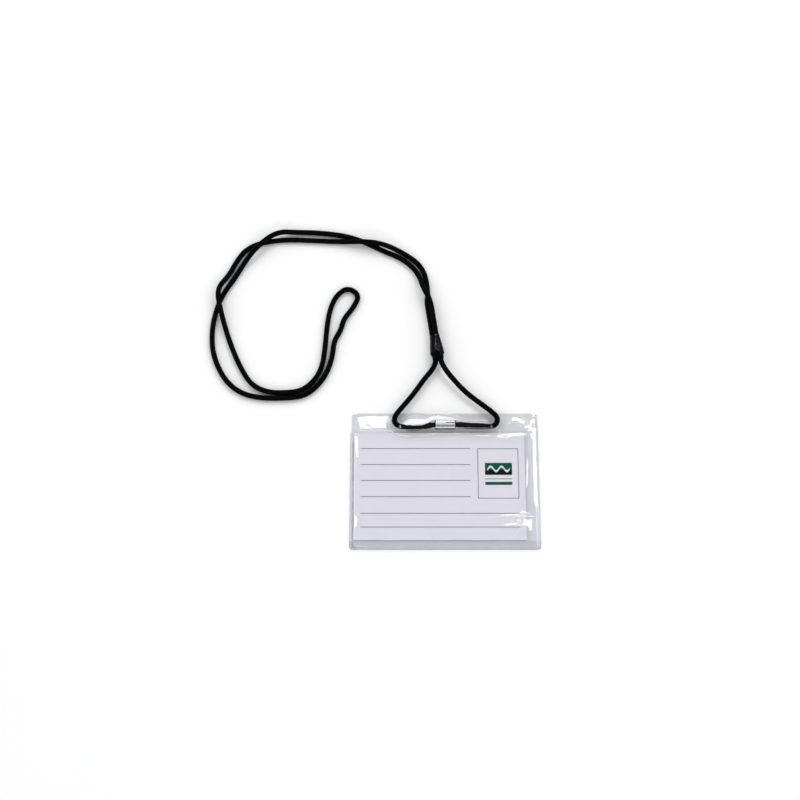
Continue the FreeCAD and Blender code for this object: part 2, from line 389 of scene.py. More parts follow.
def film_lines_and_shade(look, coordinates, x, y):
    """How dark the film is along the weld and along its cut edges, with painted shade where it
    falls steeply. At the left, beside the card, the weld line and the steep shade are stronger:
    painted shadow of the card's edge."""
    inset = look.attribute("inset")
    left_of_card = look.math("LESS_THAN", x, card_low.x + card_edge_blur)
    below_top = look.math("LESS_THAN", y, card_high.y - beside_card_end)
    card_shadow_side = look.math("MULTIPLY", left_of_card, below_top)

    weld_at = look.math("MULTIPLY_ADD", left_of_card, left_rim_extra, rim_width)
    from_weld = look.math("DIVIDE", look.math("SUBTRACT", inset, weld_at), weld_line_width)
    bell = look.math("MULTIPLY", look.math("POWER", from_weld, 2.0), -1.0)
    # beside the card, painted shadow of the card deepens the weld line
    depth = look.math("MULTIPLY_ADD", card_shadow_side, weld_card_shadow_extra, weld_line_depth)
    depth = look.math("MULTIPLY", look.noise(coordinates, 160), depth)
    weld = look.math("MULTIPLY", look.math("EXPONENT", bell), depth)

    from_cut = look.math("DIVIDE", look.attribute("cut"), -cut_line_width)
    cut_edge = look.math("MULTIPLY", look.math("EXPONENT", from_cut), cut_line_depth)

    # painted shade where the film falls steeply, stronger beside the card
    steep_shade = look.math("SUBTRACT", 1.0, look.math("ABSOLUTE", look.upright()))
    steep_shade = look.math("MULTIPLY", steep_shade, steep_shade_gain)
    limit = look.math("MULTIPLY_ADD", card_shadow_side, card_shadow_steep_extra, steep_shade_limit)
    steep_shade = look.math("MINIMUM", steep_shade, limit)
    lines = look.math("ADD", look.math("ADD", weld, cut_edge), steep_shade)
    return look.math("MINIMUM", lines, 1.0)


def film_look(name, tint, haze):
    """Clear soft PVC: see-through, glossy and a little milky. It is clearest where the two films
    lie pressed together and darkest below the card and along its lines, with painted shade where
    it falls steeply and painted shadow of the card beside it."""
    look = Look(name)
    coordinates, x, y = look.place()
    ripples = look.noise(coordinates, 90)
    orange_peel = look.noise(coordinates, 700)
    height = look.math("MULTIPLY_ADD", orange_peel, 0.04, ripples)
    normal = look.bump(height, 0.0006, 0.35)

    in_rim = look.math("LESS_THAN", look.attribute("inset"), rim_width)
    right = look.ramp(x, *pressed_right)
    top = look.ramp(y, *pressed_top)
    colour = look.mix(look.any_of([in_rim, right, top]), (*tint, 1), (*rim_tint, 1))
    below_card = look.ramp(y, card_low.y, card_low.y - card_edge_blur)
    colour = look.mix(below_card, colour, (*lower_tint, 1))
    # weld and cut lines, plus painted shade and painted card shadow
    colour = look.mix(film_lines_and_shade(look, coordinates, x, y), colour, (*line_and_shade_tint, 1))
    clear = look.node("BsdfTransparent", Color=colour).outputs[0]
    milky = look.node("BsdfDiffuse", Color=(0.80, 0.80, 0.86, 1), Normal=normal).outputs[0]

    smears = look.streaks(coordinates, (60, 160, 60), 4.0)
    roughness = look.math("MULTIPLY_ADD", smears, 0.06, 0.04)
    gloss = look.node("BsdfGlossy", Color=(1, 1, 1, 1), Roughness=roughness, Normal=normal)
    mirror = look.node("Fresnel", IOR=film_ior, Normal=normal).outputs[0]
    mirror = look.math("MINIMUM", look.math("MULTIPLY", mirror, both_faces_gain), 1.0)
    outside = look.math("SUBTRACT", 1.0, look.node("NewGeometry").outputs["Backfacing"])
    body = look.layer(haze, clear, milky)
    return look.finish(look.layer(look.math("MULTIPLY", mirror, outside), body, gloss.outputs[0]))


print_grey = (0.16, 0.16, 0.18, 1)
rule_thickness = 0.00040
rule_left = -0.0440
short_rules_y = (0.0181, 0.0090, 0.0001, -0.0090)
short_rules_right = 0.0136
long_rules_y = (-0.0182, -0.0258)
long_rules_right = 0.0391
photo_box = (0.0176, 0.0388, -0.0098, 0.0180)
mark_left = 0.0213
mark_right = 0.0355
mark_block = (0.0032, 0.0100)
mark_split_y = 0.0062
mark_rule_y = 0.0010
mark_bar = (-0.0024, -0.0007)
wave_turn = 1100
wave_swing = 0.0013
wave_half_width = 0.00062
wave_margin = 0.0012
black_ink = (0.003, 0.004, 0.004, 1)
green_ink = (0.003, 0.105, 0.050, 1)
bar_ink = (0.012, 0.095, 0.060, 1)
wave_white = (0.86, 0.88, 0.87, 1)


def card_look():
    """White paper card printed with grey rules, a photo box and a plain two-colour emblem."""
    look = Look("card_paper")
    coordinates, x, y = look.place()
    half = rule_thickness / 2
    rules = []
    for right, places in ((short_rules_right, short_rules_y), (long_rules_right, long_rules_y)):
        rules += [look.box(x, y, rule_left, right, at - half, at + half) for at in places]
    low_x, high_x, low_y, high_y = photo_box
    outer = look.box(x, y, low_x - half, high_x + half, low_y - half, high_y + half)
    inner = look.box(x, y, low_x + half, high_x - half, low_y + half, high_y - half)
    rules.append(look.math("SUBTRACT", outer, inner))
    rules.append(look.box(x, y, mark_left, mark_right, mark_rule_y - half, mark_rule_y + half))

    fibres = look.streaks(coordinates, (900, 2600, 900), 4.0, 0.6)
    mottle = look.noise(coordinates, 45, 3.0)
    paper = look.mix(mottle, (0.885, 0.875, 0.905, 1), (0.93, 0.92, 0.945, 1))
    paper = look.mix(look.math("MULTIPLY", fibres, 0.10), paper, (0.72, 0.72, 0.75, 1))
    worn = look.math("MULTIPLY_ADD", look.noise(coordinates, 1500), 0.35, 0.72)
    colour = look.mix(look.math("MULTIPLY", look.any_of(rules), worn), paper, print_grey)

    block = look.box(x, y, mark_left, mark_right, *mark_block)
    upper = look.box(x, y, mark_left, mark_right, mark_split_y, mark_block[1])
    bar = look.box(x, y, mark_left, mark_right, *mark_bar)
    for area, ink in ((block, black_ink), (upper, green_ink), (bar, bar_ink)):
        colour = look.mix(area, colour, ink)
    swell = look.math("SINE", look.math("MULTIPLY", x, wave_turn))
    crest = look.math("MULTIPLY_ADD", swell, wave_swing, (mark_block[0] + mark_block[1]) / 2)
    away = look.math("ABSOLUTE", look.math("SUBTRACT", y, crest))
    wave = look.math("LESS_THAN", away, wave_half_width)
    middle = look.box(x, y, mark_left + wave_margin, mark_right - wave_margin, *mark_block)
    colour = look.mix(look.math("MULTIPLY", wave, middle), colour, wave_white)

    normal = look.bump(fibres, 0.00004, 0.6)
    paper = look.node("BsdfPrincipled", Base_Color=colour, Roughness=0.62, Normal=normal,
                      Specular_IOR_Level=0.08)
    return look.finish(paper.outputs[0])


# near-black painted shade on the crimp's turned-away sides and at its mouths
bend_shade_colour = (0.006, 0.006, 0.007, 1)
bend_shade_from, bend_shade_to = 0.80, 0.62
mouth_shade_band = 0.00045


def nickel_look():
    """Bright nickel plate with drawn lines along the strip and fine scuffs. The sides that turn
    away from the top and the mouths are painted near black as shade."""
    look = Look("nickel_plate")
    coordinates, x, y = look.place()
    drawn = look.streaks(coordinates, (500, 9000, 9000), 3.0, 0.6)
    scuffs = look.noise(coordinates, 2500, 3.0)
    roughness = look.math("MULTIPLY_ADD", scuffs, 0.12, 0.26)
    normal = look.bump(drawn, 0.00002, 0.35)
    colour = look.mix(scuffs, (0.80, 0.80, 0.83, 1), (0.88, 0.88, 0.90, 1))
    # painted shade: darker as the surface turns away from facing up, and in a band at each mouth
    bend = look.ramp(look.upright(), bend_shade_from, bend_shade_to)
    middle_x = (crimp_low.x + crimp_high.x) / 2
    half_length = (crimp_high.x - crimp_low.x) / 2
    from_middle = look.math("ABSOLUTE", look.math("SUBTRACT", x, middle_x))
    mouth = look.math("GREATER_THAN", from_middle, half_length - mouth_shade_band)
    colour = look.mix(look.math("MAXIMUM", bend, mouth), colour, bend_shade_colour)
    plate = look.node("BsdfPrincipled", Base_Color=colour, Metallic=0.7, Roughness=roughness,
                      Normal=normal)
    return look.finish(plate.outputs[0])


def gap_look():
    """Near-black painted shade for the joint between the edges of the folded strip, partly the
    black cord seen through it, and for the crease.
    """
    look = Look("crimp_gap_shade")
    shade_mottle = look.noise(look.place()[0], 3000)
    colour = look.mix(shade_mottle, (0.004, 0.004, 0.005, 1), (0.03, 0.03, 0.03, 1))
    gap = look.node("BsdfPrincipled", Base_Color=colour, Roughness=0.7, Specular_IOR_Level=0.1)
    return look.finish(gap.outputs[0])


def sleeve_look():
    """Black heat-shrunk tube: satin, with faint shrink ripples."""
    look = Look("sleeve_black")
    coordinates = look.place()[0]
    ripples = look.streaks(coordinates, (900, 250, 250))
    grain = look.noise(coordinates, 5000)
    height = look.math("MULTIPLY_ADD", grain, 0.15, ripples)
    roughness = look.math("MULTIPLY_ADD", grain, 0.14, 0.20)
    colour = look.mix(ripples, (0.0010, 0.0010, 0.0016, 1), (0.0030, 0.0030, 0.0045, 1))
    tube = look.node("BsdfPrincipled", Base_Color=colour, Roughness=roughness,
                     Normal=look.bump(height, 0.00008, 0.3), Specular_IOR_Level=0.03)
    return look.finish(tube.outputs[0])


# how much the bead's dull skirt, its body and the worn streaks mirror
skirt_gloss = 0.015
body_gloss = 0.040
streak_gloss = 0.34
skirt_end = (0.0700, 0.0722)
streak_range = (0.47, 0.58)
crest_range = (0.86, 0.96)


def bead_look():
    """Black moulded plastic, slightly blue, with fine marks along its length. Its crest is
    worn bright in streaks."""
    look = Look("bead_black")
    coordinates, x, y = look.place()
    marks = look.streaks(coordinates, (2600, 300, 2600), 3.0, 0.6)
    flow = look.streaks(coordinates, (500, 90, 500))
    roughness = look.math("MULTIPLY_ADD", marks, 0.07, 0.06)
    colour = look.mix(flow, (0.0007, 0.0008, 0.0016, 1), (0.0020, 0.0022, 0.0044, 1))
    height = look.math("MULTIPLY_ADD", marks, 0.25, flow)
    polish = look.ramp(look.streaks(coordinates, (1300, 130, 1300), 1.0), *streak_range)
    crest = look.ramp(look.upright(), *crest_range)
    body = look.mix(look.math("MULTIPLY", polish, crest), body_gloss, streak_gloss, "FLOAT")
    gloss = look.mix(look.ramp(y, *skirt_end), skirt_gloss, body, "FLOAT")
    plastic = look.node("BsdfPrincipled", Base_Color=colour, Roughness=roughness,
                        Normal=look.bump(height, 0.00002, 0.10), Specular_IOR_Level=gloss)
    return look.finish(plastic.outputs[0])


def cord_look():
    """Black polyester yarns: fine filaments along each yarn in a varying tone, with painted shade
    in the grooves and painted light on the yarns' crowns.
    """
    look = Look("cord_polyester")
    lattice = look.node("UVMap", {"uv_map": "braid"}).outputs[0]
    split = look.node("SeparateXYZ", Vector=lattice)
    u, v = split.outputs[0], split.outputs[1]
    a = look.math("ADD", u, v)
    b = look.math("SUBTRACT", u, v)
    column = look.math("ADD", look.math("FLOOR", a), look.math("FLOOR", b))
    phase = look.math("FLOORED_MODULO", column, float(float_repeat))
    left_over = look.math("LESS_THAN", phase, 2.0)
    across = look.mix(left_over, look.math("FRACT", b), look.math("FRACT", a), "FLOAT")
    along = look.mix(left_over, a, b, "FLOAT")
    yarn = look.mix(left_over, look.math("FLOOR", b), look.math("FLOOR", a), "FLOAT")
    streak = look.node("CombineXYZ", X=look.math("MULTIPLY", across, 9.0),
                       Y=look.math("MULTIPLY", along, 0.9), Z=look.math("MULTIPLY", yarn, 3.7))
    filaments = look.noise(streak.outputs[0], 1.0, 3.0, 0.6)
    # crown is 1 on a yarn's middle and 0 in the grooves; in the colour it paints shade into the
    # grooves and light onto the crowns
    crown = look.math("SINE", look.math("MULTIPLY", across, math.pi))
    filaments_and_groove_shade = look.math("MULTIPLY", filaments, crown)
    colour = look.mix(filaments_and_groove_shade, (0.0004, 0.0004, 0.0006, 1), (0.0034, 0.0034, 0.0040, 1))
    height = look.math("MULTIPLY_ADD", crown, 0.8, filaments)
    normal = look.bump(height, 0.00010, 0.8)
    roughness = look.math("MULTIPLY_ADD", filaments, -0.25, 0.66)
    yarns = look.node("BsdfPrincipled", Base_Color=colour, Roughness=roughness, Normal=normal,
                      Specular_IOR_Level=0.025)
    return look.finish(yarns.outputs[0])


def floor_look():
    """Matt white table surface with a very faint tone."""
    look = Look("floor_white")
    coordinates = look.place()[0]
    tone = look.noise(coordinates, 6, 3.0)
    colour = look.mix(tone, (0.955, 0.955, 0.96, 1), (0.975, 0.975, 0.98, 1))
    grain = look.bump(look.noise(coordinates, 1800), 0.00003, 0.3)
    surface = look.node("BsdfPrincipled", Base_Color=colour, Roughness=0.85, Normal=grain)
    return look.finish(surface.outputs[0])


# -------- the braided cord
# Two sets of yarns wind round it in opposite directions, and each yarn goes over two of the
# other set and then under two, so the weave repeats every four cells.
yarns_each_way = 8
float_repeat = 4
cell_length = 0.00136
cell_divisions = 3
braid_radius = 0.00131
yarn_rise = 0.00016
yarn_roundness = 0.45
yarn_weave = 0.55
on_the_line = 1e-6


def yarn_height(across, phase):
    """A yarn is round across, up in the middle of a float and down under the next one."""
    roundness = yarn_roundness * math.sin(math.pi * (across % 1.0))
    return roundness + yarn_weave * math.cos(math.pi * (phase - 1) / 2)


def braid_height(u, v):
    """Height of a two-over-two braid, 0 to 1, at u yarns round and v cells along."""
    a = u + v
    b = u - v
    left = yarn_height(a, (b + math.floor(a + on_the_line)) % float_repeat)
    right = yarn_height(b, (a + math.floor(b + on_the_line) - 2) % float_repeat)
    return max(left, right, 0.0)


def braided_tube(name, line):
    """Closed tube whose faces follow the yarns, so that each yarn is raised in the mesh."""
    around = yarns_each_way * cell_divisions
    rows = int(line.length / cell_length * cell_divisions) * 2
    vertices = []
    lattice = []
    for k in range(rows + 1):
        v = k / (2 * cell_divisions)
        place, heading, side, upright = line.at(line.length * k / rows)
        for j in range(around):
            u = (j + 0.5 * (k % 2)) / cell_divisions
            angle = math.tau * u / yarns_each_way
            radius = braid_radius + yarn_rise * braid_height(u, v)
            vertices.append(place + (side * math.cos(angle) + upright * math.sin(angle)) * radius)
            lattice.append((u, v))
    faces = []
    for k in range(rows - 1):
        shift = k % 2
        for j in range(around):
            left = (j - 1 + shift) % around
            right = (j + shift) % around
            faces.append((k * around + j, (k + 1) * around + right,
                          (k + 2) * around + j, (k + 1) * around + left))
    last = rows * around
    for j in range(around):
        faces.append((j, (j + 1) % around, around + j))
        faces.append((last + (j + 1) % around, last + j, last - around + j))
    faces.append(tuple(range(around))[::-1])
    faces.append(tuple(range(last, last + around)))
    mesh = bpy.data.meshes.new(name)
    mesh.from_pydata(vertices, [], faces)
    layer = mesh.uv_layers.new(name="braid")
    for polygon in mesh.polygons:
        places = [lattice[mesh.loops[i].vertex_index] for i in polygon.loop_indices]
        highest = max(u for u, v in places)
        for i, (u, v) in zip(polygon.loop_indices, places):
            if highest - u > yarns_each_way / 2:
                u += yarns_each_way
            layer.data[i].uv = (u, v)
    fix_normals(mesh)
    return mesh


# -------- fittings on the cord
sleeve_bore = 0.00148
sleeve_radius = 0.00168
sleeve_sides = 40
sleeve_steps = 48
sleeve_end_drop = 0.00012
sleeve_end_reach = 0.0009


def sleeve_tube(name, line, first, last):
    """Heat-shrunk tube over the cord: soft ends, a slightly uneven wall."""
    length = last - first
    rings = []
    for k in range(sleeve_steps + 1):
        t = k / sleeve_steps
        end = min(t, 1 - t) * length
        wall = sleeve_radius - sleeve_end_drop * (1 - smooth(0, sleeve_end_reach, end))
        uneven = unevenness(0.00004, t * 9, 3.1, first * 100)
        rings.append(line.ring(first + t * length, wall + uneven, sleeve_sides))
    for k in range(sleeve_steps, -1, -4):
        rings.append(line.ring(first + k / sleeve_steps * length, sleeve_bore, sleeve_sides))
    return skin(name, rings)


crimp_sides = 160
crimp_steps = 60
crimp_squareness = 2.8
crimp_wall = 0.00035
seam_y = 0.0006
seam_reach = 0.00024
seam_depth = 0.00006
seam_extra_depth = 0.00032
crease_y = -0.0013
crease_reach = 0.00020
crease_depth = 0.00026
dents_x = (-0.0024, 0.0024)
dent_reach = 0.0008
dent_depth = 0.00010
mouth_drop = 0.10
waist_drop = 0.02
bore_share = 0.95
# from the mouths, where they are rounded, the waist is drawn in and the crease runs out,
# and from the middle, where the joint opens
mouth_reach = 0.0004
waist_reach = (0.0008, 0.0022)
crease_end = (0.0004, 0.0016)
seam_opens = (-0.0006, 0.0009)


def crimp_ring(x, half_width, half_height, seam, crease):
    """Rounded box section across X, with the strip's joint and a crease pressed in on top."""
    centre = (crimp_low + crimp_high) / 2
    power = 2 / crimp_squareness
    points = []
    for i in range(crimp_sides):
        angle = math.tau * i / crimp_sides
        c, s = math.cos(angle), math.sin(angle)
        y = half_width * math.copysign(abs(c) ** power, c)
        z = half_height * math.copysign(abs(s) ** power, s)
        if z > 0:
            z -= seam * math.exp(-((y - seam_y) / seam_reach) ** 2)
            z -= crease * math.exp(-((y - crease_y) / crease_reach) ** 2)
        points.append(Vector((x, centre.y + y, centre.z + z)))
    return points


def crimp_mesh(name):
    """Folded strip squeezed onto the cord ends: rounded mouths, tool dents, and on top its
    joint, which gapes on the right, and a crease."""
    half_width = (crimp_high.y - crimp_low.y) / 2
    half_height = (crimp_high.z - crimp_low.z) / 2
    length = crimp_high.x - crimp_low.x
    centre = (crimp_low + crimp_high) / 2
    middle = (crimp_high.x + crimp_low.x) / 2
    rings = []
    for k in range(crimp_steps + 1):
        t = k / crimp_steps
        x = crimp_low.x + t * length
        end = min(t, 1 - t) * length
        lip = 1 - mouth_drop * (1 - smooth(0, mouth_reach, end))
        waist = 1 - waist_drop * smooth(*waist_reach, end)
        dents = sum(math.exp(-((x - middle - at) / dent_reach) ** 2) for at in dents_x)
        high = (half_height * waist - dent_depth * dents) * lip
        opening = smooth(middle + seam_opens[0], middle + seam_opens[1], x)
        seam = seam_extra_depth * opening + seam_depth
        crease = crease_depth * smooth(*crease_end, end)
        rings.append(crimp_ring(x, half_width * lip * waist, high, seam, crease))
    for k in range(crimp_steps, -1, -6):
        x = crimp_low.x + k / crimp_steps * length
        rings.append(crimp_ring(x, half_width * bore_share - crimp_wall * 1.4,
                                half_height * bore_share - crimp_wall, 0, 0))
    mesh = skin(name, rings)
    for polygon in mesh.polygons:
        x, y, z = polygon.center - centre
        in_seam = abs(y - seam_y) < seam_reach and x > 0.0002
        in_crease = abs(y - crease_y) < crease_reach and abs(x) < length / 2 - 0.0008
        # faces down in the joint and in the crease take the near-black painted shade
        if z > half_height * 0.5 and (in_seam or in_crease):
            polygon.material_index = 1
    return mesh


# -------- slider bead
bead_axis_point = Vector((-0.003115, 0.0706, 0.00375))
bead_lean = math.radians(8.3)
strand_tilt = math.radians(50)
bead_start = -0.0019
bead_length = 0.0139
bead_sides = 144
bead_steps = 72
bead_outside = [
    # distance from the mouth, half width across both strands, half width across one
    (0.0000, 0.00336, 0.00254),
    (0.0003, 0.00346, 0.00266),
    (0.0020, 0.00350, 0.00290),
    (0.0026, 0.00360, 0.00350),
    (0.0032, 0.00376, 0.00392),
    (0.0040, 0.00378, 0.00384),
    (0.0068, 0.00372, 0.00330),
    (0.0090, 0.00362, 0.00282),
    (0.0112, 0.00346, 0.00236),
    (0.0136, 0.00330, 0.00190),
    (0.0139, 0.00318, 0.00174),
]
bead_inside = [
    (0.0000, 0.00326, 0.00240),
    (0.0042, 0.00303, 0.00153),
    (0.0139, 0.00303, 0.00153),
]
groove_angle = math.radians(-44)
groove_width = 0.24
groove_depth = 0.00026
groove_start = (0.0034, 0.0046)
groove_end = (0.0120, 0.0136)


def bead_frame():
    """Bead's mouth and axes: along the strands, across both of them, and across one."""
    along = Vector((-math.sin(bead_lean), math.cos(bead_lean), 0))
    level = Vector((math.cos(bead_lean), math.sin(bead_lean), 0))
    across = level * math.cos(strand_tilt) + Vector((0, 0, math.sin(strand_tilt)))
    third = along.cross(across)
    origin = bead_axis_point + along * bead_start
    return origin, along, across, third


def bead_mesh(name):
    """Bell-shaped bead with a rounded lip, two lengthwise grooves and an oval bore."""
    origin, along, across, third = bead_frame()
    rings = []
    for k in range(bead_steps + 1):
        t = bead_length * k / bead_steps
        wide, narrow = blend_keys(bead_outside, t)
        deep = groove_depth * smooth(*groove_start, t) * (1 - smooth(*groove_end, t))
        ring = []
        for i in range(bead_sides):
            angle = math.tau * i / bead_sides
            cut = 0.0
            for at in (groove_angle, groove_angle + math.pi):
                away = math.remainder(angle - at, math.tau)
                cut += deep * max(0.0, 1 - abs(away) / groove_width)
            ring.append(origin + along * t + across * ((wide - cut) * math.cos(angle))
                        + third * ((narrow - cut) * math.sin(angle)))
        rings.append(ring)
    for k in range(bead_steps, -1, -3):
        t = bead_length * k / bead_steps
        wide, narrow = blend_keys(bead_inside, t)
        straight = wide - narrow
        ring = []
        for i in range(bead_sides):
            angle = math.tau * i / bead_sides
            offset = math.copysign(straight, math.cos(angle)) if abs(math.cos(angle)) > 1e-9 else 0
            ring.append(origin + along * t
                        + across * (offset + narrow * math.cos(angle))
                        + third * (narrow * math.sin(angle)))
        rings.append(ring)
    return skin(name, rings)


# -------- films
half_width = film_high.x
half_height = film_high.y
header_left = half_width - 0.0008
header_right = half_width - 0.0002
corner_radius = 0.0020
# where the sides step in to the header
left_shoulder = (0.0265, 0.0279)
right_shoulder = (0.0300, 0.0314)
rim_width = 0.0011
left_rim_extra = 0.0006
# kept between faces that would otherwise share a plane
hair_gap = 0.00001
holes = [Vector((-0.0256, 0.0316, 0)), Vector((0.0274, 0.0316, 0))]
hole_radius = 0.00265
ceiling_z = card_high.z + 0.00005
tent_z = 0.00442
# where the cord's tails and the crimp run under the film: x, y, half width of the flat
# top, how far the film falls gently above it, how sharply it bends down after that, and
# how wide its fall is below
tent_line = [
    (-0.0285, 0.0302, 0.0012, 0.0000, 400, 0.0040),
    (-0.0225, 0.0294, 0.0010, 0.0005, 200, 0.0042),
    (-0.0190, 0.0288, 0.0006, 0.0036, 75, 0.0042),
    (-0.0100, 0.0292, 0.0008, 0.0034, 80, 0.0042),
    (-0.0060, 0.0310, 0.0016, 0.0026, 230, 0.0044),
    (0.0000, 0.0310, 0.0016, 0.0024, 260, 0.0044),
    (0.0056, 0.0310, 0.0016, 0.0012, 300, 0.0042),
    (0.0128, 0.0303, 0.0012, 0.0000, 400, 0.0032),
    (0.0205, 0.0300, 0.0012, 0.0000, 400, 0.0030),
    (0.0300, 0.0300, 0.0012, 0.0000, 400, 0.0030),
]
gentle_slope = 0.185
tent_edge_softness = 0.0004
# from each hole's middle, where the tent begins and ends
tent_left = (-0.0024, 0.0029)
tent_right = (-0.0028, 0.0026)
# the front film's rise from the weld towards the card, which is gentle on the upper right
steep_rise = 0.80
gentle_fall = 0.57
gentle_x = (0.0432, 0.0462)
gentle_y = (-0.0200, -0.0110)
wide_rim_x = (-0.0460, -0.0400)
rise_softness = 0.00012
loose_wave = 0.00010
# the loose bulge left of the left hole
puff_slope = 0.20
puff_top_y = 0.0366
puff_length = 0.0078
puff_bottom_y = (0.0266, 0.0284)
puff_right_x = (-0.0306, -0.0286)
# soft folds in the front film: x, y, direction in degrees, half length, half width on the
# left of that direction and on the right, height
folds = [
    (-0.0450, 0.0205, 92, 0.0090, 0.0016, 0.0024, 0.00042),
    (-0.0452, -0.0225, 90, 0.0043, 0.0016, 0.0022, 0.00042),
    (0.0395, 0.0308, -25, 0.0052, 0.0040, 0.0014, 0.00092),
    (0.0380, 0.0244, 5, 0.0095, 0.0020, 0.0012, 0.00050),
    (0.0335, 0.0226, -14, 0.0054, 0.0015, 0.0010, 0.00042),
    (0.0426, 0.0060, 88, 0.0115, 0.0020, 0.0011, 0.00027),
    (0.0398, -0.0240, 86, 0.0060, 0.0016, 0.0040, 0.00100),
    (0.0345, -0.0256, 5, 0.0056, 0.0015, 0.0012, 0.00050),
    (0.0350, -0.0203, 2, 0.0105, 0.0012, 0.0010, 0.00036),
    (0.0195, 0.0242, -1, 0.0075, 0.0020, 0.0010, 0.00048),
    (0.0076, 0.0302, 0, 0.0007, 0.0005, 0.0005, 0.00012),
]


def outline_distance(x, y, mouth_open):
    """Distance outside the films' outline, negative inside, with or without the top edge."""
    right = half_width - (half_width - header_right) * smooth(*right_shoulder, y)
    left = half_width - (half_width - header_left) * smooth(*left_shoulder, y)
    dx = max(x - right, -x - left) + corner_radius
    dy = (-y if mouth_open else abs(y)) - half_height + corner_radius
    outside = math.hypot(max(dx, 0), max(dy, 0))
    return outside + min(max(dx, dy), 0) - corner_radius


def film_distance(x, y):
    """Distance outside the front film itself, holes included."""
    distance = outline_distance(x, y, False)
    for hole in holes:
        distance = max(distance, hole_radius - math.hypot(x - hole.x, y - hole.y))
    return distance


def tent_height(x, y):
    """How far the film stands over the pocket where it lies over the tails and the crimp."""
    centre_y, flat, gentle, bend, fall = blend_keys(tent_line, x)
    top = tent_z - ceiling_z
    if y < centre_y:
        height = top * (1 - smooth(flat, flat + fall, centre_y - y))
    else:
        beyond = max(0.0, y - centre_y - flat)
        height = top - gentle_slope * beyond - bend * max(0.0, beyond - gentle) ** 2
        height = (height + math.hypot(height, tent_edge_softness)) / 2
    left = smooth(holes[0].x + tent_left[0], holes[0].x + tent_left[1], x)
    right = 1 - smooth(holes[1].x + tent_right[0], holes[1].x + tent_right[1], x)
    return height * left * right


def fold_height(x, y):
    """How far the soft folds lift the film."""
    total = 0.0
    for fold_x, fold_y, degrees, half_length, left_breadth, right_breadth, height in folds:
        turn = math.radians(degrees)
        along = (x - fold_x) * math.cos(turn) + (y - fold_y) * math.sin(turn)
        across = (y - fold_y) * math.cos(turn) - (x - fold_x) * math.sin(turn)
        breadth = left_breadth if across > 0 else right_breadth
        total += height * math.exp(-(along / half_length) ** 4 - (across / breadth) ** 2)
    return total


def header_puff(x, y):
    """Loose bulge between the left edge and the left hole, falling evenly towards the top."""
    ragged = unevenness(0.0007, x * 220, y * 220, 8.0)
    swing = unevenness(0.0016, x * 110, y * 200, 3.0)
    height = puff_slope * min(puff_length, max(0.0, puff_top_y + ragged - y))
    return height * smooth(*puff_bottom_y, y) * (1 - smooth(*puff_right_x, x + swing))


def front_film_height(x, y):
    """Underside of the front film: on the back film at the rim, over the card inside it."""
    inside = -outline_distance(x, y, True)
    gentle_from_y = y + unevenness(0.006, x * 200, 1.0, 4.0)
    gentle = smooth(*gentle_x, x) * smooth(*gentle_y, gentle_from_y)
    wobble = unevenness(0.05, x * 90, y * 45, 6.2)
    rise = steep_rise - (gentle_fall + wobble) * gentle
    rim = rim_width + left_rim_extra * (1 - smooth(*wide_rim_x, x))
    ramp = rise * max(0.0, inside - rim)
    wave = 0.5 + unevenness(0.5, x * 60, y * 60, 1.7)
    loose = (ceiling_z - film_thickness + loose_wave * wave
             + fold_height(x, y) + header_puff(x, y))
    lift = max(0.0, (ramp + loose - math.hypot(ramp - loose, rise_softness)) / 2)
    return film_thickness + hair_gap + lift + tent_height(x, y)


# grid steps: coarse over the card, and finer in bands along the rims and over the header
coarse_step = 0.00055
rim_band = 0.0032
rim_step = 0.0002
right_band_x = 0.0430
right_step = 0.0003
header_band_y = 0.0240
header_step = 0.00036
rounding = 1e-9


def grid_lines(half, last_band, last_step):
    """Grid coordinates from -half to half, finer in the first rim and in the last band."""
    places = [-half]
    while places[-1] < half - rounding:
        here = places[-1] + rounding
        step = coarse_step
        if here < -half + rim_band:
            step = rim_step
        elif last_band <= here:
            step = last_step
        places.append(min(places[-1] + step, half))
    if places[-1] - places[-2] < coarse_step * 0.2:
        places.pop(-2)
    return places


def onto_outline(x, y, distance):
    """The place on the outline nearest to x, y, found in three steps down the distance."""
    tiny = 1e-6
    for _ in range(3):
        off = distance(x, y)
        slope_x = (distance(x + tiny, y) - distance(x - tiny, y)) / (2 * tiny)
        slope_y = (distance(x, y + tiny) - distance(x, y - tiny)) / (2 * tiny)
        size = max(math.hypot(slope_x, slope_y), 0.5)
        x -= off * slope_x / size
        y -= off * slope_y / size
    return x, y


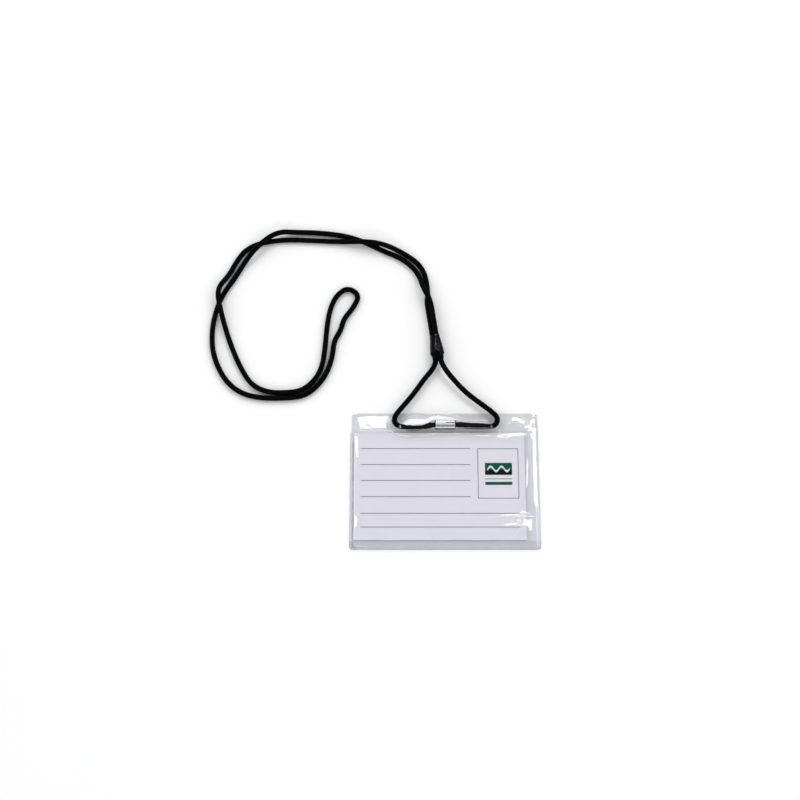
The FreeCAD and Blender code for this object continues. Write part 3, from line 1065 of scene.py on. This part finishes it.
def film_mesh(name, underside, distance, thickness):
    """Closed film over the outline: grid faces, with the edges drawn onto the outline."""
    xs = grid_lines(half_width, right_band_x, right_step)
    ys = grid_lines(half_height, header_band_y, header_step)
    uses = {}
    cells = []
    for i in range(len(xs) - 1):
        for j in range(len(ys) - 1):
            if distance((xs[i] + xs[i + 1]) / 2, (ys[j] + ys[j + 1]) / 2) < 0:
                cell = ((i, j), (i + 1, j), (i + 1, j + 1), (i, j + 1))
                cells.append(cell)
                for corner in cell:
                    uses[corner] = uses.get(corner, 0) + 1
    places = []
    index = {}
    for corner, cells_here in uses.items():
        x, y = xs[corner[0]], ys[corner[1]]
        if cells_here < 4:
            x, y = onto_outline(x, y, distance)
        index[corner] = len(places)
        places.append((x, y, underside(x, y)))
    count = len(places)
    vertices = places + [(x, y, z + thickness) for x, y, z in places]
    faces = []
    edges = {}
    for cell in cells:
        a, b, c, d = (index[corner] for corner in cell)
        faces.append((a, d, c, b))
        faces.append((a + count, b + count, c + count, d + count))
        for edge in ((a, b), (b, c), (c, d), (d, a)):
            edges[edge] = True
    walls_from = len(faces)
    for a, b in edges:
        if (b, a) not in edges:
            faces.append((a, b, b + count, a + count))
    mesh = bpy.data.meshes.new(name)
    mesh.from_pydata(vertices, [], faces)
    for polygon in mesh.polygons[walls_from:]:
        polygon.material_index = 1
    inset = mesh.attributes.new("inset", "FLOAT", "POINT")
    cut = mesh.attributes.new("cut", "FLOAT", "POINT")
    for i, vertex in enumerate(mesh.vertices):
        inset.data[i].value = -outline_distance(vertex.co.x, vertex.co.y, False)
        cut.data[i].value = -distance(vertex.co.x, vertex.co.y)
    fix_normals(mesh)
    return mesh


# -------- build the pieces
def build_holder():
    looks = [film_look("film_clear", film_tint, film_haze),
             film_look("film_edge", wall_tint, wall_haze)]
    front = film_mesh("front_film_sheet", front_film_height, film_distance, film_thickness)
    add_piece("front_film_sheet", front, "holder", "clear_film", looks, "front_film")
    # a hair thinner than the front film, so that the card lies on it without touching
    back = film_mesh("back_film_sheet", lambda x, y: 0.0,
                     lambda x, y: outline_distance(x, y, False), film_thickness - hair_gap)
    add_piece("back_film_sheet", back, "holder", "clear_film", looks, "back_film")


def build_card():
    card = nodes["insert_card"]
    card.data.materials.clear()
    card.data.materials.append(card_look())


# how far along the cord from either end the sleeves may begin and end
tail_length = 0.026


def build_cord():
    line = Line(nurbs_line(route))
    end = line.length
    cord = add_piece("cord_braid", braided_tube("cord_braid", line), "holder", "cord",
                     [cord_look()], "cord_yoke_left", "cord_neck_left", "cord_end_loop",
                     "cord_neck_right", "cord_yoke_right")
    crimp = add_piece("crimp_folded", crimp_mesh("crimp_folded"), "holder", "nickel",
                      [nickel_look(), gap_look()], "crimp")
    black = [sleeve_look()]
    left = sleeve_tube("sleeve_left", line, line.distance_at_x(left_sleeve_high.x, 0, 0.020),
                       line.distance_at_x(left_sleeve_low.x, 0.010, tail_length))
    left = add_piece("sleeve_left", left, "holder", "sleeve_plastic", black, "cord_sleeve_left")
    right = sleeve_tube("sleeve_right", line,
                        line.distance_at_x(right_sleeve_high.x, end - tail_length, end),
                        line.distance_at_x(right_sleeve_low.x, end - tail_length, end))
    right = add_piece("sleeve_right", right, "holder", "sleeve_plastic", black,
                      "cord_sleeve_right")
    bead = add_piece("bead_bell", bead_mesh("bead_bell"), "slider", "bead_plastic",
                     [bead_look()], "slider_bead")


# -------- stage, light and camera
floor_half = 6.0
floor_below = -0.00006


def build_stage():
    corners = [(x * floor_half, y * floor_half, floor_below)
               for x, y in ((-1, -1), (1, -1), (1, 1), (-1, 1))]
    mesh = bpy.data.meshes.new("floor")
    mesh.from_pydata(corners, [], [(0, 1, 2, 3)])
    mesh.materials.append(floor_look())
    floor = bpy.data.objects.new("floor", mesh)
    bpy.context.scene.collection.objects.link(floor)


def softbox(name, place, size, power):
    """Rectangular light turned towards the holder."""
    light = bpy.data.lights.new(name, "AREA")
    light.shape = "RECTANGLE"
    light.size, light.size_y = size
    light.energy = power
    lamp = bpy.data.objects.new(name, light)
    lamp.location = place
    lamp.rotation_euler = (light_target - Vector(place)).to_track_quat("-Z", "Y").to_euler()
    bpy.context.scene.collection.objects.link(lamp)


light_target = Vector((0, 0.03, 0))
# name, place, size, watts
softboxes = [
    ("softbox_back", (0.05, 0.98, 0.95), (0.72, 0.20), 2.5),
    ("softbox_left", (-0.62, 0.46, 1.05), (0.19, 0.56), 2.0),
    ("softbox_right", (0.62, 0.46, 1.05), (0.19, 0.56), 2.0),
    ("softbox_front", (0, -0.95, 0.62), (0.90, 0.35), 1.7),
]
# sine of the height above the horizon, and how bright the studio is there
sky_stops = [(0.0, 0.90), (0.2, 0.94), (0.5, 1.22), (0.7, 1.12), (0.87, 0.07), (1.0, 0.05)]


def build_light():
    """Bright studio walls and a dark ceiling, with a softbox behind the holder, one at each
    side and one in front."""
    world = bpy.data.worlds.new("studio")
    bpy.context.scene.world = world
    world.use_nodes = True
    tree = world.node_tree
    direction = tree.nodes.new("ShaderNodeTexCoord").outputs["Generated"]
    split = tree.nodes.new("ShaderNodeSeparateXYZ")
    tree.links.new(direction, split.inputs[0])
    ramp = tree.nodes.new("ShaderNodeValToRGB")
    stops = ramp.color_ramp.elements
    stops[0].position, stops[1].position = sky_stops[0][0], sky_stops[-1][0]
    for place, level in sky_stops[1:-1]:
        stops.new(place)
    for stop, (place, level) in zip(stops, sky_stops):
        stop.color = (level, level, level, 1)
    tree.links.new(split.outputs["Z"], ramp.inputs["Fac"])
    tree.links.new(ramp.outputs["Color"], tree.nodes["Background"].inputs["Color"])
    for name, place, size, power in softboxes:
        softbox(name, place, size, power)
    bpy.context.scene.view_settings.view_transform = "Standard"
    bpy.context.scene.cycles.transparent_max_bounces = 32


def build_camera():
    data = bpy.data.cameras.new("camera")
    data.lens = 90
    data.sensor_width = 36
    camera = bpy.data.objects.new("camera", data)
    camera.location = (-0.0234, -0.3743, 0.9819)
    camera.rotation_euler = (math.radians(23.19), 0, 0)
    bpy.context.scene.collection.objects.link(camera)
    bpy.context.scene.camera = camera


build_holder()
build_card()
build_cord()
build_stage()
build_light()
build_camera()
